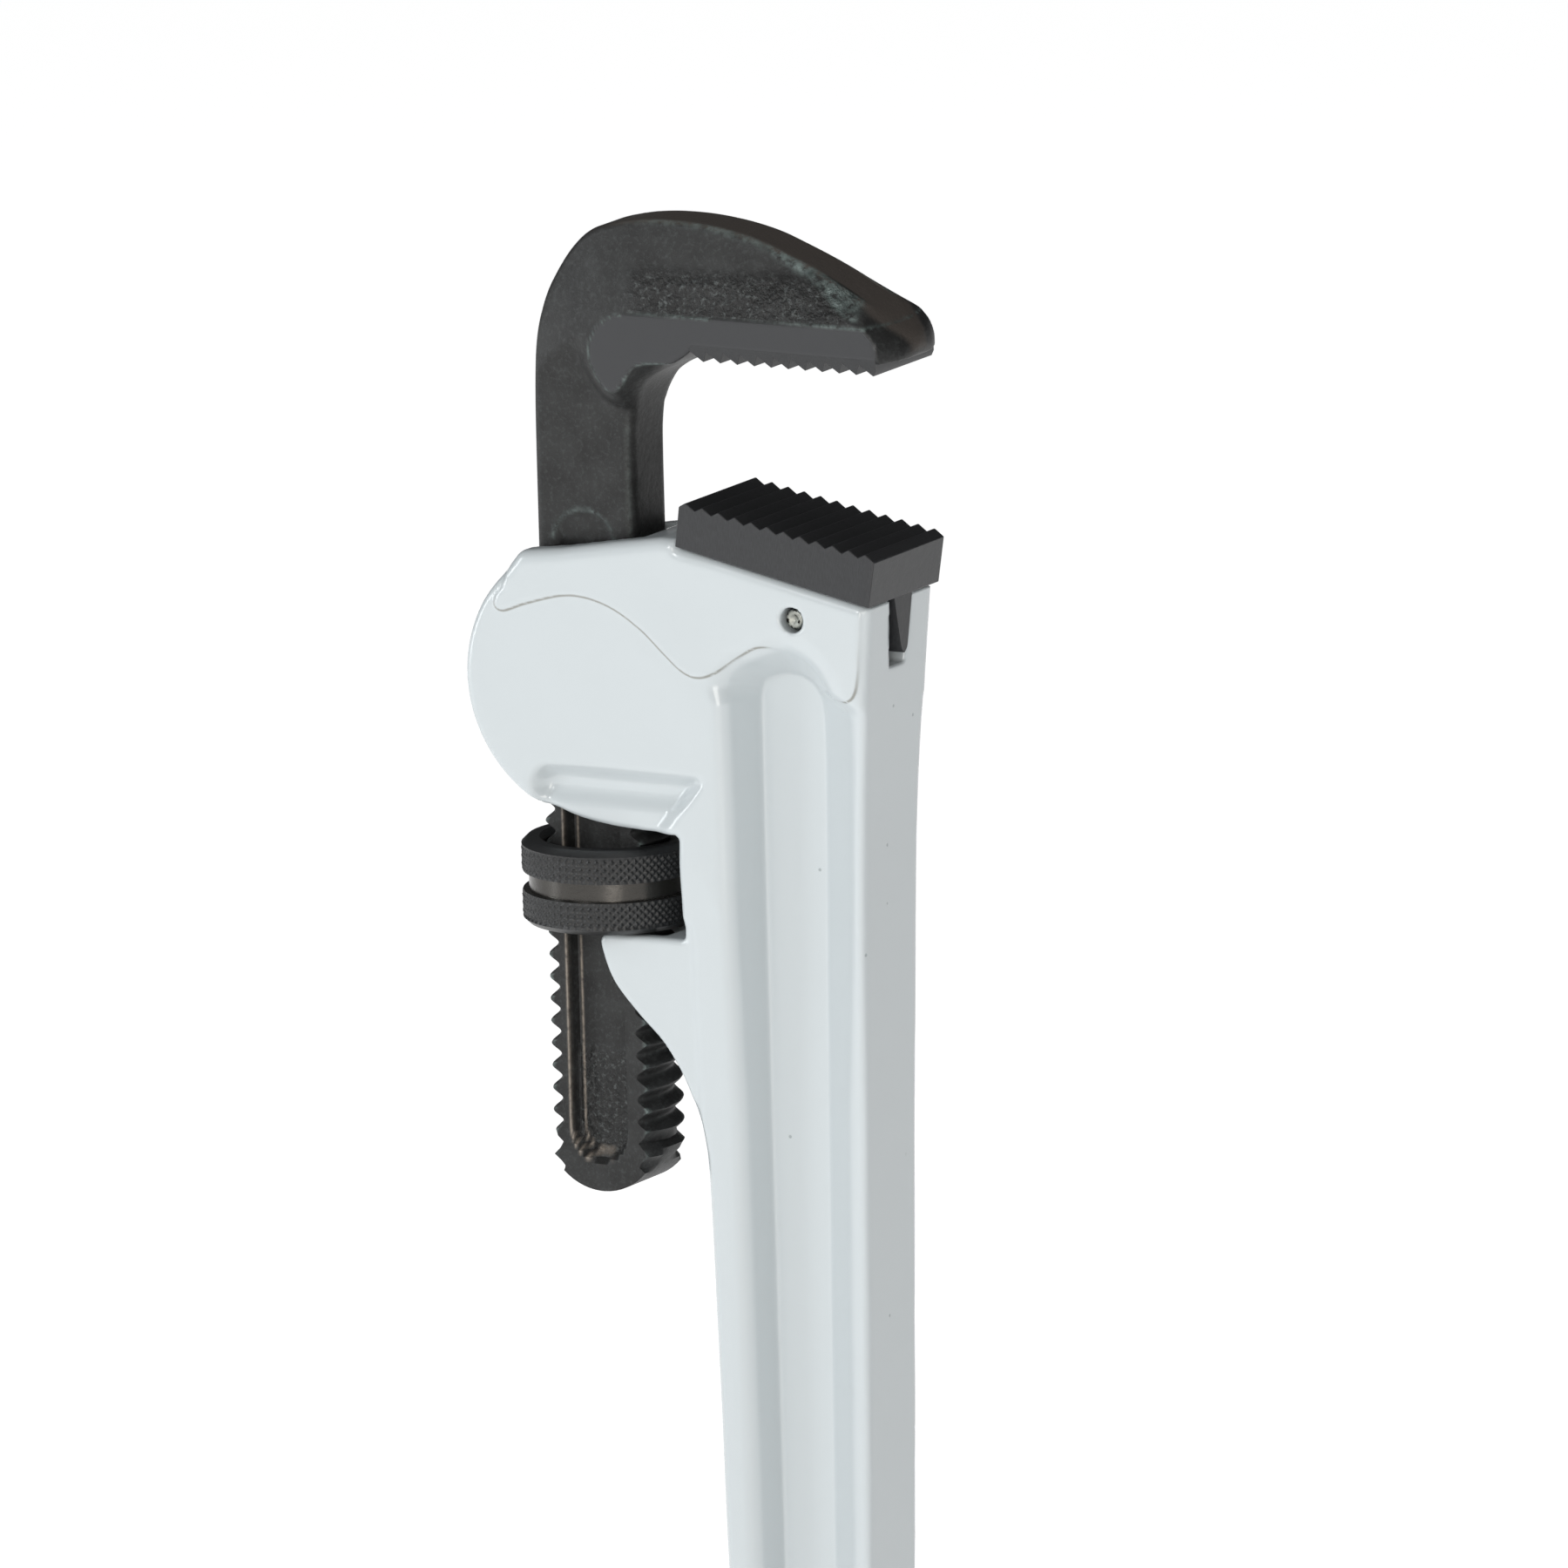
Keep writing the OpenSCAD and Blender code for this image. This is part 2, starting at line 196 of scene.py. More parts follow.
handleLook = {
    "webHalf": 2.6,         # half the web between the two pockets
    "headHalf": 11.6,       # half the head's thickness
    "proud": 0.4,           # how far the head's flat stands above the wavy line
    "frontEdge": 1.7,       # rounding of the front face's edges
    "housingEdge": 1.4,     # rounding of the housing's back edges
    "topEdge": 2.2,         # rounding of the housing's top edges
    "gripEdge": 3.4,        # rounding of the grip's back edges
    "lugEdge": 1.0,         # rounding of the lug's edges
    "lugStep": 0.8,         # how far the lug's sides lie below the flange
    "pocketRim": 2.3,       # rounding of the pockets' rims
    "pinHole": 2.3,         # radius of the pin's hole at the surface
    "seatGap": 0.4,         # shadow gap under the heel jaw
    "cove": 3.1,            # depth of the cove along the housing's lower edge
    "lip": 1.5,             # how far the lip below the cove swells out again
    "ripple": 0.05,         # unevenness of the cast sides
}

seatBack, seatFront = (21.7, 63.0), (60.3, 55.1)
pinCentre = (44.4, 51.6)
housing = {"centre": (2.7, 36.9), "r": 24.9}


def seatAt(v):  # height of the heel jaw's seat
    return seatBack[1] + (v - seatBack[0]) * (seatFront[1] - seatBack[1]) / (seatFront[0] - seatBack[0])


handleOutline = np.vstack([
    arc((38, -195), 13, 180, 360, 25),
    curve([(51.3, -182), (53.4, -115), (55.1, -42), (56.6, 10), (58.3, 38), (59.8, 54.8)], 6),
    [(seatBack[0], seatBack[1] - handleLook["seatGap"]), (20.9, 64), (17.7, 64), (8, 62.4), (-2.8, 60.5),
     (-10.2, 59.6), (-11.2, 58.9), (-12.2, 57.7), (-13.4, 56.2)],
    arc(housing["centre"], housing["r"], 134, 245, 30),
    curve([(-5.3, 13.7), (-0.9, 12.3), (5.3, 11.3), (12, 10.9)], 4),
    [(19.4, 10.9), (20, 10.3), (20, -7.4), (19.4, -8)],
    curve([(4.6, -8), (3.2, -8.6), (2.9, -10.6), (5.1, -16.6), (9.8, -22.2), (14.5, -26.9), (18.2, -32.6),
           (20.6, -38.6), (21.8, -45), (22.6, -60), (23.9, -118), (25, -195)], 6)])

# The raised panel on the head's side, whose lower edge is the wavy line
platePanel = np.vstack([
    curve([(-13.9, 52.8), (-15.3, 51.2), (-15.7, 49.8), (-15.1, 48.9), (-13.8, 48.7), (-12, 49.3),
           (-9.1, 50.4), (-2.1, 52.3), (3, 52.3), (8.5, 50.7), (14, 47.4), (18.4, 43.6), (22, 40.7),
           (25, 39.8), (28.4, 40.8), (33.4, 44.1), (37.5, 46.1), (42.2, 45.1), (46.2, 42), (49.8, 39),
           (53, 37.6), (55.6, 38.2), (56.9, 40.2), (57.6, 44)], 6),
    [(58.6, 58), (58, 72), (-6, 72), (-12, 60)]])

pocketFloor = np.vstack([
    arc((38.2, -166), 5.2, 190, 350, 12),
    curve([(43.2, -117), (44.2, -40), (45.4, 20), (45.4, 33)], 3),
    curve([(44.9, 36.2), (43.2, 38.6), (39.8, 39.9), (36.2, 39.5), (33.8, 38.1), (32.9, 35.8)], 4),
    curve([(32.8, 33), (32.7, -40), (33, -117)], 3)])


def halfThickness(v, u):  # half the casting's thickness before its edges are rounded
    k = handleLook
    grip = np.interp(u, [-210, -170, -115, -38, -8, 15, 45, 66],
                     [8.5, 8.5, 9.3, 9.7, 10.9, 11.2, k["headHalf"], k["headHalf"]])
    half = k["headHalf"] + (grip - k["headHalf"]) * np.maximum(ease((v - 23) / 6), ease((7 - u) / 11))
    half = half - k["lugStep"] * ease((23.2 - v) / 2.5) * ease((-3 - u) / 3)
    inside = roundMax(roundMax(-10.1 - v, u - 22.7, 5), (v - 27.2 + 0.8 * (22 - u)) / 1.28, 3)
    half = half - ease(-inside / 3.8) * (u > -2) * (k["cove"] - k["lip"] * ease((17.6 - u) / 3.2))
    flat = ease(0.5 - outlineDistance(platePanel, v, u) / 0.5)
    wavy = np.sin(v / 5.3 + u / 9.7) * np.sin(u / 13.1 - v / 17) + 0.6 * np.sin(u / 4.7 + v / 3.9)
    return half + k["proud"] * flat + k["ripple"] * wavy


def handleField(v, w, u):
    # The outline pulled out to the half-thickness, with rounded edges, less the pockets,
    # the shank's passage, the slot between the ears, the tongue's slot and the round holes
    k = handleLook
    a = np.abs(w)
    edges = (k["gripEdge"], k["lugEdge"], k["lugEdge"], k["housingEdge"], k["housingEdge"], k["topEdge"])
    back = np.interp(u, [-46, -36, 6, 12, 50, 57], edges)
    edge = back + (k["frontEdge"] - back) * ease((v - 22) / 8)
    body = roundMax(outlineDistance(handleOutline, v, u), a - halfThickness(v, u), edge)
    flare = 0.36 + 0.98 * ease((v - 35) / 8)
    flare = flare + (0.62 - flare) * 0.7 * ease((u - 35) / 4)
    walls = (outlineDistance(pocketFloor, v, u) - flare * (a - k["webHalf"])) / np.sqrt(1 + flare ** 2)
    pocket = roundMax(walls, k["webHalf"] - a, 0.35)
    body = cut(body, pocket, k["pocketRim"])
    passage = np.minimum(block(v, w, u, (-12.3, -6.85, 5), (12.2, 6.85, 24)),
                         block(v, w, u, (-14.6, -6.85, 22.5), (12.2, 6.85, 53.5)))
    passage = np.minimum(passage, block(v, w, u, (-10.9, -6.85, 50), (12.2, 6.85, 80)))
    ears = block(v, w, u, (-20, -6.85, -56), (14.5, 6.85, 0))
    body = cut(body, np.minimum(passage, ears), 0.6)
    drop = seatFront[1] - u
    slot = np.maximum(a - (3.9 - 0.1 * drop), np.maximum(30 - v, drop - 12.4))
    body = cut(body, slot, 0.35)
    body = cut(body, np.hypot(v - pinCentre[0], u - pinCentre[1]) - k["pinHole"], 0.3)
    body = cut(body, np.hypot(v - 38, u + 195) - 6, 0.9)
    return cut(body, np.maximum(np.hypot(w, u - 30) - 3.4, v - 22), 0.3)


def makeHandle():
    v = np.arange(-23.4, 61.5, 0.58)
    w = np.arange(-12.9, 13, 0.6)
    u = np.concatenate([np.arange(-209.5, -158, 0.8), np.arange(-158, -62, 2.1), np.arange(-61, -8.9, 0.7),
                        np.arange(-8.9, 66.5, 0.52)])
    points, faces = skin(handleField, v, w, u)
    piece = newPiece("handleCasting", points, faces)
    v, w, u = points.T
    addAttribute(piece, "plateGap", np.abs(outlineDistance(platePanel, v, u)))
    addAttribute(piece, "headSide", ease((np.abs(w) - 10.6) / 0.6) * ease((58 - v) / 1.5)
                 * ease((55.5 + 0.25 * v - u) / 3))
    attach(piece, "handle")
    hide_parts("handle")
    print("handle", len(faces))
    return piece


# ---- hook jaw: a forging with a threaded shank ----

threadShape = {"r": 11.5, "pitch": 4.0, "depth": 1.5, "top": 31.0, "bottom": -55.5}


def threadRadius(angle, u, depth, sharpness):
    # r - depth*(1 - cos(2 pi u/pitch - angle))^sharpness / 2^sharpness: a right-hand thread whose
    # crests grow narrower as the sharpness falls below 1
    wave = (1 - np.cos(2 * np.pi * u / threadShape["pitch"] - angle)) / 2
    return threadShape["r"] - depth * wave ** sharpness


hookLook = {
    "shankHalf": 6.35,      # half the thickness across the shank's flats
    "cheekHalf": 10.4,      # half the width at the teeth
    "rimHalf": 4.9,         # half the width of the crest's flat top
    "rimEdge": 0.9,         # rounding of the crest's edges
    "shankEdge": 1.3,       # rounding of the plain shank's back edges
    "shankFront": 2.1,      # rounding of its front edges
    "recess": 2.7,          # depth of the long recess in each flat
    "threadDepth": 1.7,
    "threadSharpness": 0.8,
    "noseFacet": 114.4,     # where the slanting facets beside the nose lie
    "teeth": 11,
    "toothDepth": 1.9,
}

hookOutline = np.vstack([
    [(-9.9, 38), (9.8, 38)],
    curve([(9.8, 60), (9.8, 76), (10, 82), (10.8, 86.8), (12.4, 90), (15.2, 92.2), (19, 94), (22.4, 96),
           (25, 98)], 6),
    [(61.8, 97.9)],
    curve([(64.2, 98), (65, 98.9), (65.1, 100.2), (64, 102.1), (61.5, 104.2), (58.1, 106.9), (52.8, 109.9),
           (48.4, 112.1), (44.2, 113.9), (39.8, 115.6), (35.6, 117.1), (31, 118.2), (26.5, 118.9),
           (22.1, 119.3), (17.6, 119.4), (13.2, 119.2), (8.7, 118.6), (3.8, 117.4), (1, 116),
           (-1.4, 113.9), (-3.6, 111.2), (-5.3, 108.5), (-7, 105.2), (-8.4, 100.8), (-9.3, 96),
           (-9.7, 90), (-9.9, 80), (-9.9, 60)], 5)])

cheekPanel = np.vstack([
    curve([(25, 94.9), (19, 94.9), (14.1, 94.5), (11.9, 92.9), (10.3, 90.4), (9, 89.3), (7.2, 89.8),
           (5.2, 92.4), (4.3, 95), (4.4, 97.8), (6, 100.4), (8.7, 102.4), (12, 103.1), (18, 103.3),
           (40, 103.7), (57, 104)], 4),
    [(70, 104), (70, 90)]])


def panelGap(v, u):  # how far a point lies outside the ground panel on the cheek
    return np.maximum(outlineDistance(cheekPanel, v, u), 0)


def recessDepth(v, u):  # the long round-ended recess in each flat, with sloping walls
    wall = np.hypot(v + 0.3, np.maximum(np.maximum(u - 61.2, -44.4 - u), 0)) - 5.3
    soft = ease((u - 54) / 8)
    return hookLook["recess"] * (1 - 0.86 * soft) * ease(0.5 - wall / (0.9 + 1.6 * soft))


def hookHalf(v, u):
    # The cheek stays flat inside the panel. Outside it the half-width falls to the target at the
    # outline, in the share gap / (gap + depth inside the outline)
    k = hookLook
    gap = panelGap(v, u)
    depth = np.maximum(-outlineDistance(hookOutline, v, u), 0.02)
    share = (gap / (gap + depth)) ** (1.1 + 0.9 * ease((v - 46) / 10))
    share = np.maximum(share, ease(gap / 4.6) * ease((104 - u) / 16))
    target = np.interp(u, [88, 100, 110], [k["shankHalf"], 5.8, k["rimHalf"]])
    target = np.where((v > 9) & (u < 98), 7.0 - 0.65 * ease((91 - u) / 6), target)
    return k["cheekHalf"] - (k["cheekHalf"] - target) * share


def hookField(v, w, u):
    k = hookLook
    a = np.abs(w)
    plain = k["shankEdge"] + (k["shankFront"] - k["shankEdge"]) * ease(v / 4)
    edge = k["rimEdge"] + (plain - k["rimEdge"]) * ease((100 - u) / 14) * ease((24 - v) / 4)
    body = roundMax(outlineDistance(hookOutline, v, u), a - hookHalf(v, u) + recessDepth(v, u), edge)
    facet = 0.70 * v + 0.224 * a + 0.677 * u - k["noseFacet"]
    return roundMax(body, roundMax(facet, v - 65.0 + 0.029 * w ** 2, 1.5), 0.35)


def makeHook():
    k = hookLook
    v = np.arange(-11.2, 66.5, 0.5)
    w = np.arange(-11.05, 11.1, 0.52)
    u = np.arange(37.2, 121, 0.52)
    points, faces = skin(hookField, v, w, u)
    piece = newPiece("hookHead", points, faces)
    hv, hw, hu = points.T
    gap = panelGap(hv, hu)
    depth = np.maximum(-outlineDistance(hookOutline, hv, hu), 0)
    share = gap / (gap + depth + 0.01)
    side = ease((np.abs(hw) - 3.9) / 0.8)
    width = np.interp(hv, [2, 12, 36, 48, 56], [0.04, 0.08, 0.12, 0.28, 0.7])
    facet = 0.70 * hv + 0.224 * np.abs(hw) + 0.677 * hu - k["noseFacet"]
    beforeFacet = -facet
    rim = ease((share - 1 + width) / 0.15) * side * ease((hu - 100.5) / 3) * ease((hv - 4) / 10)
    rim = rim * ease((beforeFacet - 0.3) / 0.8)
    # A thin light line along the cheek panel's edge: a painted highlight
    panelEdgeHighlight = np.exp(-(gap / 0.3) ** 2) * (gap > 0) * ease((hu - 88) / 2) * 0.7
    front = ease(1 - np.abs(hv - 8.6) / 0.9) * ease(1 - np.abs(np.abs(hw) - 5.4))
    front = front * (hu < 90) * ease((hu - 52) / 9)
    # Light lines along the edges of the recess's rounded top: painted highlights
    recessArchHighlight = np.exp(-((np.hypot(hv + 0.3, hu - 60.6) - 6.3) / 0.35) ** 2) * side * (hu > 61)
    ground = (gap < 0.01) * (hv < 61.7) * ease((np.abs(hw) - 9.8) / 0.3) * ease((beforeFacet - 0.2) / 0.4)
    pits = ease(gap / 0.6) * ease((9 - gap) / 4) * ease((hv - 9) / 6) * ease((58 - hv) / 5)
    # Real wear along the rim and the shank's front edge, together with painted highlights along the panel's
    # edge and the recess's top
    addAttribute(piece, "wearAndHighlights", np.clip(rim + 1.25 * panelEdgeHighlight + 0.75 * front + 0.6 * recessArchHighlight, 0, 1))
    addAttribute(piece, "ground", ground)
    addAttribute(piece, "pits", pits * ease((hu - 102) / 1.5) * side)
    addAttribute(piece, "crest", ease((0.7 - depth) / 0.5) * ease((hu - 98.5) / 1.5) * ease((hv + 2) / 16))
    finishHook(piece)
    print("hook head", len(faces))
    return piece


def finishHook(piece):
    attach(piece, "hook_jaw")
    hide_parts("hook_jaw")


def makeShank():
    # Rings up the shank: two arcs of thread, r(angle, u), joined by the two recessed flats
    k = hookLook
    r, bottom = threadShape["r"], threadShape["bottom"]
    turn = np.linspace(np.pi / 2 - 0.03, 0, 16)
    u = np.concatenate([bottom + r - r * np.sin(turn), np.arange(bottom + r + 0.27, 41, 0.27)])[:, None]
    reach = np.concatenate([r * np.cos(turn), np.full(len(u) - len(turn), 99.0)])[:, None]
    plain = ease((u - threadShape["top"] + 1) / 2)
    front, back = (np.minimum(reach, 99 + (limit - 99) * plain) for limit in (9.8, 9.9))

    def corner(middle, side):  # where the thread meets a flat, as an angle about the axis
        angle = np.full(len(u), middle + side)
        for _ in range(12):
            radius = threadRadius(angle, u[:, 0], k["threadDepth"], k["threadSharpness"])
            angle = middle + np.sign(side) * np.arcsin(k["shankHalf"] / radius)
        return angle

    t = np.linspace(0, 1, 27)[None, :]
    rings = []
    for middle, limit in ((0.0, front), (np.pi, back)):
        low, high = corner(middle, -0.6)[:, None], corner(middle, 0.6)[:, None]
        angle = low + (high - low) * t
        radius = threadRadius(angle, u, k["threadDepth"], k["threadSharpness"])
        away = np.minimum(np.abs(radius * np.cos(angle)), limit)
        across = np.clip(radius * np.sin(angle), -k["shankHalf"], k["shankHalf"])
        rings.append((np.cos(middle) * away, across))
    (fv, fw), (bv, bw) = rings

    def columns(start, end):  # along a flat, in straight columns but for the last bit to the thread
        first, last = (np.sign(x) * np.minimum(7.2, 0.97 * np.abs(x)) for x in (start, end))
        s, m = np.array([[1 / 3, 2 / 3]]), np.linspace(0, 1, 75)[None, :]
        return np.hstack([start + (first - start) * s, first + (last - first) * m, last + (end - last) * s])

    near, far = columns(fv[:, -1:], bv[:, :1]), columns(bv[:, -1:], fv[:, :1])
    flatHalf = k["shankHalf"]
    v = np.hstack([fv, near, bv, far])
    w = np.hstack([fw, flatHalf - recessDepth(near, u), bw, recessDepth(far, u) - flatHalf])
    high = np.broadcast_to(u, v.shape)
    points = np.stack([v, w, high], axis=2).reshape(-1, 3)
    faces = tube(*v.shape) + [list(range(v.shape[1]))[::-1]]
    piece = newPiece("hookShank", points, faces, 42)
    sv, sw, su = points.T
    wall = np.hypot(sv + 0.3, np.maximum(-44.4 - su, 0)) - 5.3
    onFlat = np.abs(sw) > 3.2
    crest = np.hypot(sv, sw) > r - 0.35
    corners = crest * np.exp(-((np.abs(sw) - flatHalf) / 0.4) ** 2)
    # Light lines along both edges of the recess: painted highlights
    rims = np.exp(-((wall - 0.55) / 0.2) ** 2) + np.exp(-((wall + 0.95) / 0.2) ** 2)
    rims = rims * onFlat * ease((3 - sv) / 4)
    addAttribute(piece, "wearAndHighlights", np.clip(corners, 0, 1))
    addAttribute(piece, "recessEdgeHighlight", np.clip(rims * (su < 30), 0, 1))
    addAttribute(piece, "ground", 0 * su)
    addAttribute(piece, "pits", ease(-wall / 0.6) * ease((-29 - su) / 3) * onFlat * 0.9)
    finishHook(piece)
    print("hook shank", len(faces))
    return piece


def toothRow(start, end, count, depth):
    # Root and tip of each raked tooth along a straight row, cut towards the right of its run
    start, end = np.array(start, float), np.array(end, float)
    run = (end - start) / count
    right = np.array([run[1], -run[0]]) / np.hypot(*run)
    roots = start + run * np.arange(count)[:, None]
    tips = roots + run * 0.62 + right * depth
    return np.stack([roots, tips], axis=1).reshape(-1, 2)


def extrude(name, outline, half, stations, bevel):  # an outline carried across the wrench
    across = np.linspace(-half, half, stations)
    count = len(outline)
    points = np.array([(v, w, u) for w in across for v, u in outline])
    last = (stations - 1) * count
    faces = tube(stations, count) + [list(range(count))[::-1], list(range(last, last + count))]
    piece = newPiece(name, points, faces, 30)
    edges = piece.modifiers.new("edges", "BEVEL")
    edges.width, edges.segments = bevel * mm, 2
    edges.limit_method, edges.angle_limit = "ANGLE", np.radians(35)
    return piece


def makeHookTeeth():
    k = hookLook
    start, end, root = 24.3, 61.7, 97.75
    run = (end - start) / k["teeth"]
    roots = start + run * np.arange(k["teeth"])
    tips = root - k["toothDepth"]
    low = np.stack([roots, np.full(k["teeth"], root), roots + run * 0.86, np.full(k["teeth"], tips)], axis=1)
    outline = np.vstack([low.reshape(-1, 2), [(end, root - 0.9), (end, root + 1.6), (start, root + 1.6)]])
    piece = extrude("hookTeeth", outline, k["cheekHalf"] - 0.02, 2, 0.12)
    addAttribute(piece, "ground", np.full(len(piece.data.vertices), 0.7))
    finishHook(piece)
    return piece


# ---- adjusting nut: two knurled bands with a groove between them ----

nutLook = {
    "r": 16.0,
    "half": 7.6,            # half its height
    "chamfer": 1.5,         # chamfer of its top and bottom edges
    "grooveHalf": 1.55,     # half the groove's height
    "grooveDepth": 1.3,
    "knurls": 72,           # diamonds around it
    "knurlRise": 1.4,      # height of one diamond, mm
    "knurlDepth": 0.42,
    "gap": 0.3,             # clearance of its thread
}


def makeNut():
    # Rings around the axis along a profile (r, u): bottom, chamfer, band, groove, band, chamfer,
    # top, mouth and threaded bore. The bands are pressed in by the deeper of two slanting
    # triangle waves, which leaves diamonds
    k = nutLook
    r, half, chamfer = k["r"], k["half"], k["chamfer"]
    inner = threadShape["r"] + k["gap"]
    groove, depth = k["grooveHalf"], k["grooveDepth"]
    band = np.linspace(groove + 0.45, half - chamfer, 27)
    profile = [(inner + 0.9, -half), (r - chamfer - 0.3, -half), (r - 0.75 * chamfer, -half + 0.12)]
    profile += [(r - 0.12, -half + chamfer * 0.72)] + [(r, -z) for z in band[::-1]]
    profile += [(r - 0.25, -groove - 0.15), (r - depth, -groove), (r - depth, -groove + 0.1)]
    profile += [(r - depth, groove - 0.1), (r - depth, groove), (r - 0.25, groove + 0.15)]
    profile += [(r, z) for z in band]
    profile += [(r - 0.12, half - chamfer * 0.72), (r - 0.75 * chamfer, half - 0.12)]
    profile += [(r - chamfer - 0.3, half)]
    profile += [(inner + 0.9, half), (inner + 0.1, half - 0.8)]
    profile += [(0, z) for z in np.linspace(half - 1.1, -half + 1.1, 52)] + [(inner + 0.1, -half + 0.8)]
    radius, high = np.array(profile).T[:, :, None]
    angle = np.linspace(0, 2 * np.pi, k["knurls"] * 7, endpoint=False)[None, :]
    turns = k["knurls"] * angle / (2 * np.pi)
    climb = high / k["knurlRise"]
    waves = [2 * np.abs((turns + side * climb) % 1 - 0.5) for side in (-1, 1)]
    pressed = k["knurlDepth"] * (1 - np.minimum(*waves)) * (np.abs(radius - r) < 1e-6)
    bore = threadRadius(angle, high, threadShape["depth"], 1.0) + k["gap"]
    around = np.where(radius < 1, bore, radius - pressed)
    points = np.stack([around * np.cos(angle), around * np.sin(angle), high + 0 * angle], axis=2)
    rows, columns = around.shape
    faces = [face[::-1] for face in tube(rows, columns, True)]
    piece = newPiece("adjustingNut", points.reshape(-1, 3), faces, 40)
    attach(piece, "adjusting_nut")
    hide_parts("adjusting_nut")
    inGroove = (np.abs(high) < groove + 0.05) & (radius > inner + 1)
    addAttribute(piece, "polish", np.repeat(inGroove * 1.0, columns))
    print("nut", len(faces))
    return piece


# ---- heel jaw, its tongue and its pin ----

heelLook = {
    "half": 12.5,           # half its width
    "teeth": 12,
    "toothDepth": 1.0,
    "tipFront": (61.8, 64.3),
    "tipBack": (22.8, 71.2),
    "edge": 0.2,            # bevel of its edges
    "tongueDrop": 10.2,
}


def makeHeel():
    k = heelLook
    front, back = np.array(k["tipFront"]), np.array(k["tipBack"])
    run = back - front
    right = np.array([run[1], -run[0]]) / np.hypot(*run)
    rootFront, rootBack = front - right * k["toothDepth"], back - right * k["toothDepth"]
    teeth = toothRow(rootFront, rootBack, k["teeth"], k["toothDepth"])
    outline = np.vstack([teeth, [rootBack, seatBack, seatFront]])
    jaw = extrude("heelJaw", outline, k["half"], 2, k["edge"])
    # the tongue: a tapered bar v = 30.3 to 60.3 with a rounded foot, u = top - drop*t, w = half(t)
    t = np.linspace(0, 1, 24)
    half = (4.86 - 4.0 * t) * np.sqrt(np.clip(1 - np.clip((t - 0.9) / 0.1, 0, 1) ** 2.4, 0, 1))
    top, low = seatFront[1] + 8, seatFront[1] - k["tongueDrop"]
    high = top + (low - top) * t
    ring = np.vstack([np.column_stack([half, high]), np.column_stack([-half, high])[::-1]])
    ends = (30.4, 60.2)
    points = np.array([(v, w, min(u, seatAt(v) + 1)) for v in ends for w, u in ring])
    count = len(ring)
    faces = tube(2, count) + [list(range(count))[::-1], list(range(count, 2 * count))]
    tongue = newPiece("heelTongue", points, faces, 40)
    for piece in (jaw, tongue):
        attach(piece, "handle")
        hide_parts("heel_jaw")
    print("heel jaw", len(jaw.data.polygons))
    return jaw, tongue


def makePin():
    # A round pin across the wrench: radius along it, with staked, dimpled ends
    ends = [(0, 10.4), (0.5, 10.45), (0.8, 10.8), (1.3, 10.95), (1.6, 10.8), (1.78, 10.5), (1.8, 9)]
    profile = np.array([(r, -w) for r, w in ends] + [(r, w) for r, w in ends[::-1]])
    angle = np.linspace(0, 2 * np.pi, 40, endpoint=False)[None, :]
    radius, across = profile[:, :1], profile[:, 1:]
    v, u = pinCentre
    points = np.stack([v + radius * np.cos(angle), across + 0 * angle, u + radius * np.sin(angle)], axis=2)
    piece = newPiece("heelJawPin", points.reshape(-1, 3), tube(*points.shape[:2], True), 60)
    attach(piece, "handle")
    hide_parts("heel_jaw_pin")
    return piece


# ---- materials ----

def addNode(tree, kind, sockets=None, **settings):  # a node with its settings, values and links
    node = tree.nodes.new(kind)
    for name, value in settings.items():
        setattr(node, name, value)
    for name, value in (sockets or {}).items():
        if isinstance(value, bpy.types.NodeSocket):
            tree.links.new(value, node.inputs[name])
        else:
            node.inputs[name].default_value = value
    return node


def newMaterial(name, colour, roughness, metallic=0.0, **more):
    material = bpy.data.materials.new(name)
    material.use_nodes = True
    tree = material.node_tree
    shader = tree.nodes["Principled BSDF"]
    shader.inputs["Base Color"].default_value = linear(colour)
    shader.inputs["Roughness"].default_value = roughness
    shader.inputs["Metallic"].default_value = metallic
    for socket, value in more.items():
        shader.inputs[socket].default_value = value
    place = addNode(tree, "ShaderNodeTexCoord").outputs["Object"]
    return material, tree, shader, place


def setSockets(tree, sockets, values):  # each value into its socket, linked if it is an output
    for socket, value in zip(sockets, values):
        if isinstance(value, bpy.types.NodeSocket):
            tree.links.new(value, socket)
        else:
            socket.default_value = value


def mixColour(tree, factor, a, b):  # b over a by a factor, each a colour or an output
    node = addNode(tree, "ShaderNodeMix", data_type="RGBA")
    setSockets(tree, (node.inputs[0], node.inputs[6], node.inputs[7]), (factor, a, b))
    return node.outputs[2]


def noise(tree, place, size, detail=3.0, rough=0.55):  # noise whose features are size millimetres across
    return addNode(tree, "ShaderNodeTexNoise", {"Vector": place, "Scale": 1 / (size * mm), "Detail": detail,
                                                "Roughness": rough}).outputs["Fac"]


def band(tree, value, low, high, start=0.0, end=1.0):  # a value's stretch low..high as start..end
    return addNode(tree, "ShaderNodeMapRange", {"Value": value, "From Min": low, "From Max": high,
                                                "To Min": start, "To Max": end}).outputs["Result"]


def times(tree, a, b):
    node = addNode(tree, "ShaderNodeMath", operation="MULTIPLY")
    setSockets(tree, node.inputs, (a, b))
    return node.outputs[0]


def relief(tree, shader, layers):  # bumps stacked into the shader, each (height, millimetres)
    below = None
    for height, size in layers:
        node = addNode(tree, "ShaderNodeBump", {"Height": height, "Distance": size * mm, "Strength": 1.0})
        if below:
            tree.links.new(below, node.inputs["Normal"])
        below = node.outputs["Normal"]
    tree.links.new(below, shader.inputs["Normal"])


def attribute(tree, name):
    return addNode(tree, "ShaderNodeAttribute", attribute_name=name).outputs["Fac"]


